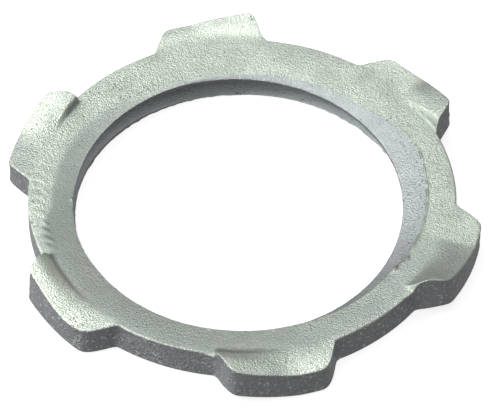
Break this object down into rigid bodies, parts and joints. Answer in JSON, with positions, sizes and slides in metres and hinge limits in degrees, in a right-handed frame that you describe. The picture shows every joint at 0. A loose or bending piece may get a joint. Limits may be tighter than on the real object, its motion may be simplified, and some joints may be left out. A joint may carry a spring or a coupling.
{
  "type": "conduit locknut",
  "caption": "Flat stamped steel ring nut with flared lugs bent up into teeth and one helical thread, for clamping a conduit fitting to a box wall.",
  "frame": {"origin": "on the thread axis, at the plane of the ring's underside", "axes": "+Z along the thread axis towards the toothed face that bites the box wall; +X through the middle of one lug"},
  "size_m": [0.0456, 0.0428, 0.0048],
  "materials": {
    "zinc_plated_steel": "tumbled zinc plating, satin with a fine pitted grain"
  },
  "bodies": {
    "root": {"locknut": "zinc_plated_steel"}
  },
  "joints": []
}
